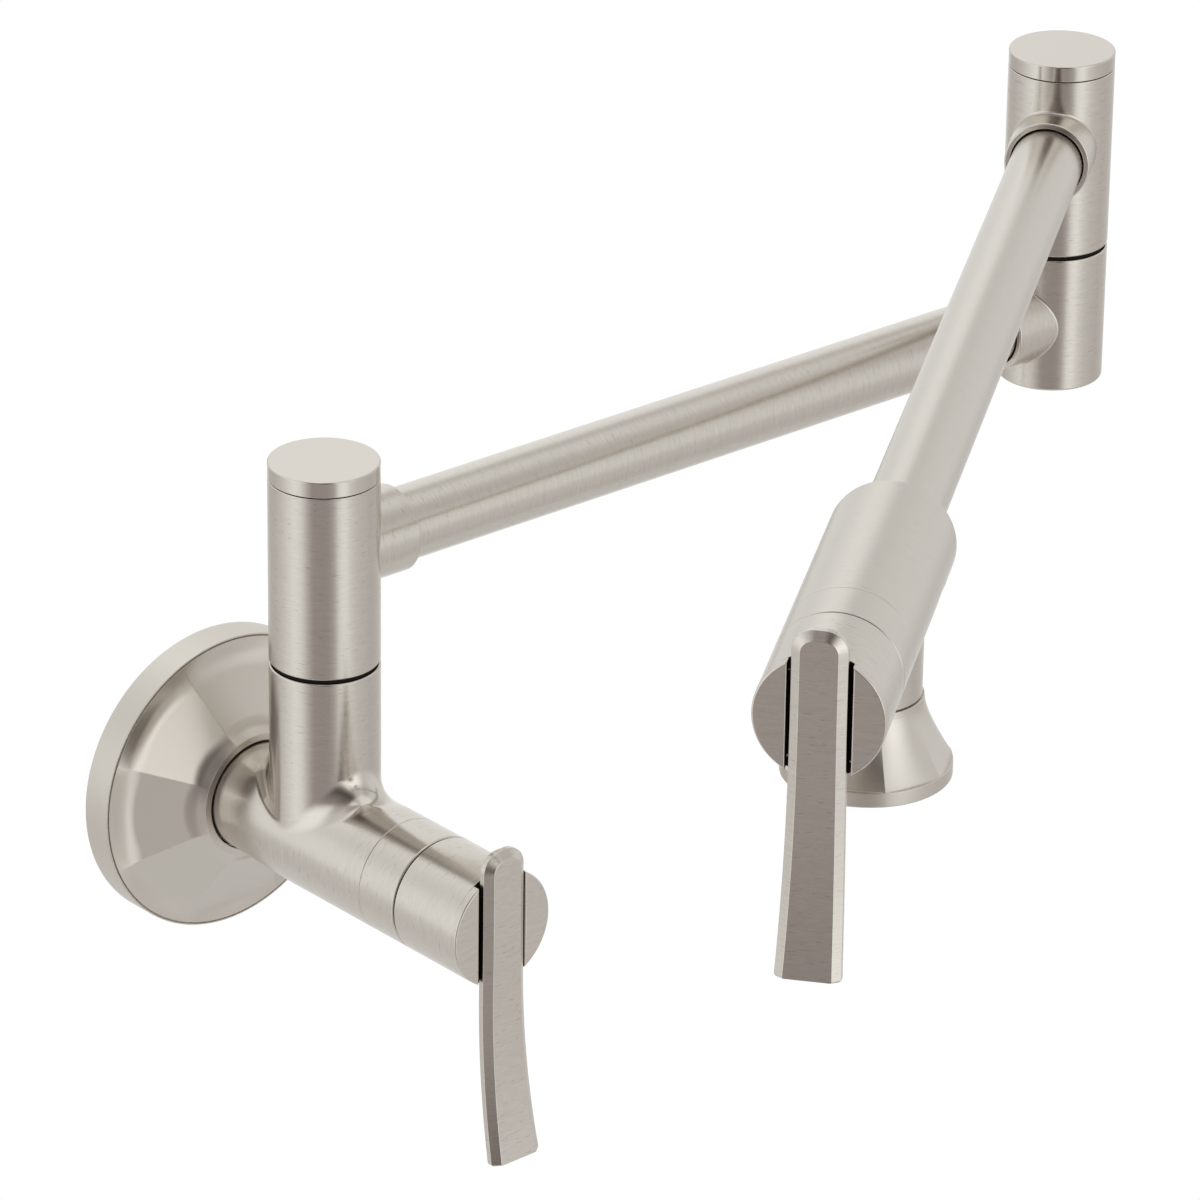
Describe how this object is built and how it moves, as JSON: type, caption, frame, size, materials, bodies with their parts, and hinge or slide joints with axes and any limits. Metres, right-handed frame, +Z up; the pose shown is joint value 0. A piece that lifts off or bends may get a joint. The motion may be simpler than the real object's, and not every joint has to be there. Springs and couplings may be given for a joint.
{
  "type": "pot filler",
  "caption": "Wall-mounted double-jointed pot filler: faceted wall flange, swivelling arms, quarter-turn lever valves at wall and spout, bell-shaped aerated outlet",
  "frame": {"origin": "centre of the inlet's mouth, in the plane of the wall", "axes": "+Z up, +Y into the wall along the valve body's axis, +X to the right seen from the room"},
  "size_m": [0.353, 0.3197, 0.2424],
  "materials": {
    "brushed_nickel": "warm satin brushed nickel plating over brass",
    "raw_brass": "machined brass, unplated",
    "stainless": "stainless steel fasteners and screen",
    "black_rubber": "black nitrile rubber",
    "white_ceramic": "lapped white alumina",
    "natural_nylon": "dark low-friction nylon",
    "aerator_plastic": "pale moulded acetal",
    "foam": "closed-cell foam"
  },
  "bodies": {
    "wall_unit": {"wall_flange": "brushed_nickel", "flange_gasket": "foam", "flange_o_ring": "black_rubber", "wall_body": "brushed_nickel", "cartridge_1": "raw_brass", "cartridge_seal_1": "black_rubber", "fixed_disc_1": "white_ceramic", "stem_seal_1": "black_rubber", "bonnet_1": "brushed_nickel", "swivel_post_1": "raw_brass", "post_o_rings_1": "black_rubber", "thrust_washer_1": "natural_nylon", "post_nut_1": "raw_brass"},
    "handle_1": {"hub_1": "brushed_nickel", "lever_1": "brushed_nickel", "lever_screw_1": "stainless", "hub_set_screw_1": "stainless", "stem_1": "raw_brass", "moving_disc_1": "white_ceramic"},
    "handle_2": {"hub_2": "brushed_nickel", "lever_2": "brushed_nickel", "lever_screw_2": "stainless", "hub_set_screw_2": "stainless", "stem_2": "raw_brass", "moving_disc_2": "white_ceramic"},
    "arm_1": {"column_1": "brushed_nickel", "cap_1": "brushed_nickel", "arm_tube_1": "brushed_nickel", "column_2_lower": "brushed_nickel", "swivel_post_2": "raw_brass", "post_o_rings_2": "black_rubber", "thrust_washer_2": "natural_nylon", "post_nut_2": "raw_brass"},
    "arm_2": {"column_2_upper": "brushed_nickel", "cap_2": "brushed_nickel", "arm_tube_2": "brushed_nickel", "spout_body": "brushed_nickel", "cartridge_2": "raw_brass", "cartridge_seal_2": "black_rubber", "fixed_disc_2": "white_ceramic", "stem_seal_2": "black_rubber", "bonnet_2": "brushed_nickel", "outlet_bell": "brushed_nickel", "aerator_washer": "black_rubber", "aerator_insert": "aerator_plastic", "aerator_screen": "stainless"}
  },
  "joints": [
    {"name": "arm_1_swing", "type": "hinge", "parent": "wall_unit", "child": "arm_1", "pos_m": [0, -0.0537, 0.0885], "axis": [0, 0, 1], "range_deg": [-177.7, 1.15]},
    {"name": "arm_2_swing", "type": "hinge", "parent": "arm_1", "child": "arm_2", "pos_m": [0.27914, -0.0593, 0.145], "axis": [0, 0, 1], "range_deg": [-38.24, 141.76]},
    {"name": "handle_1_turn", "type": "hinge", "parent": "wall_unit", "child": "handle_1", "pos_m": [0, -0.1137, 0], "axis": [0, -1, 0], "range_deg": [0, 90]},
    {"name": "handle_2_turn", "type": "hinge", "parent": "arm_2", "child": "handle_2", "pos_m": [-0.03355, -0.29571, 0.145], "axis": [-0.7977, -0.6031, 0], "range_deg": [0, 90]}
  ]
}
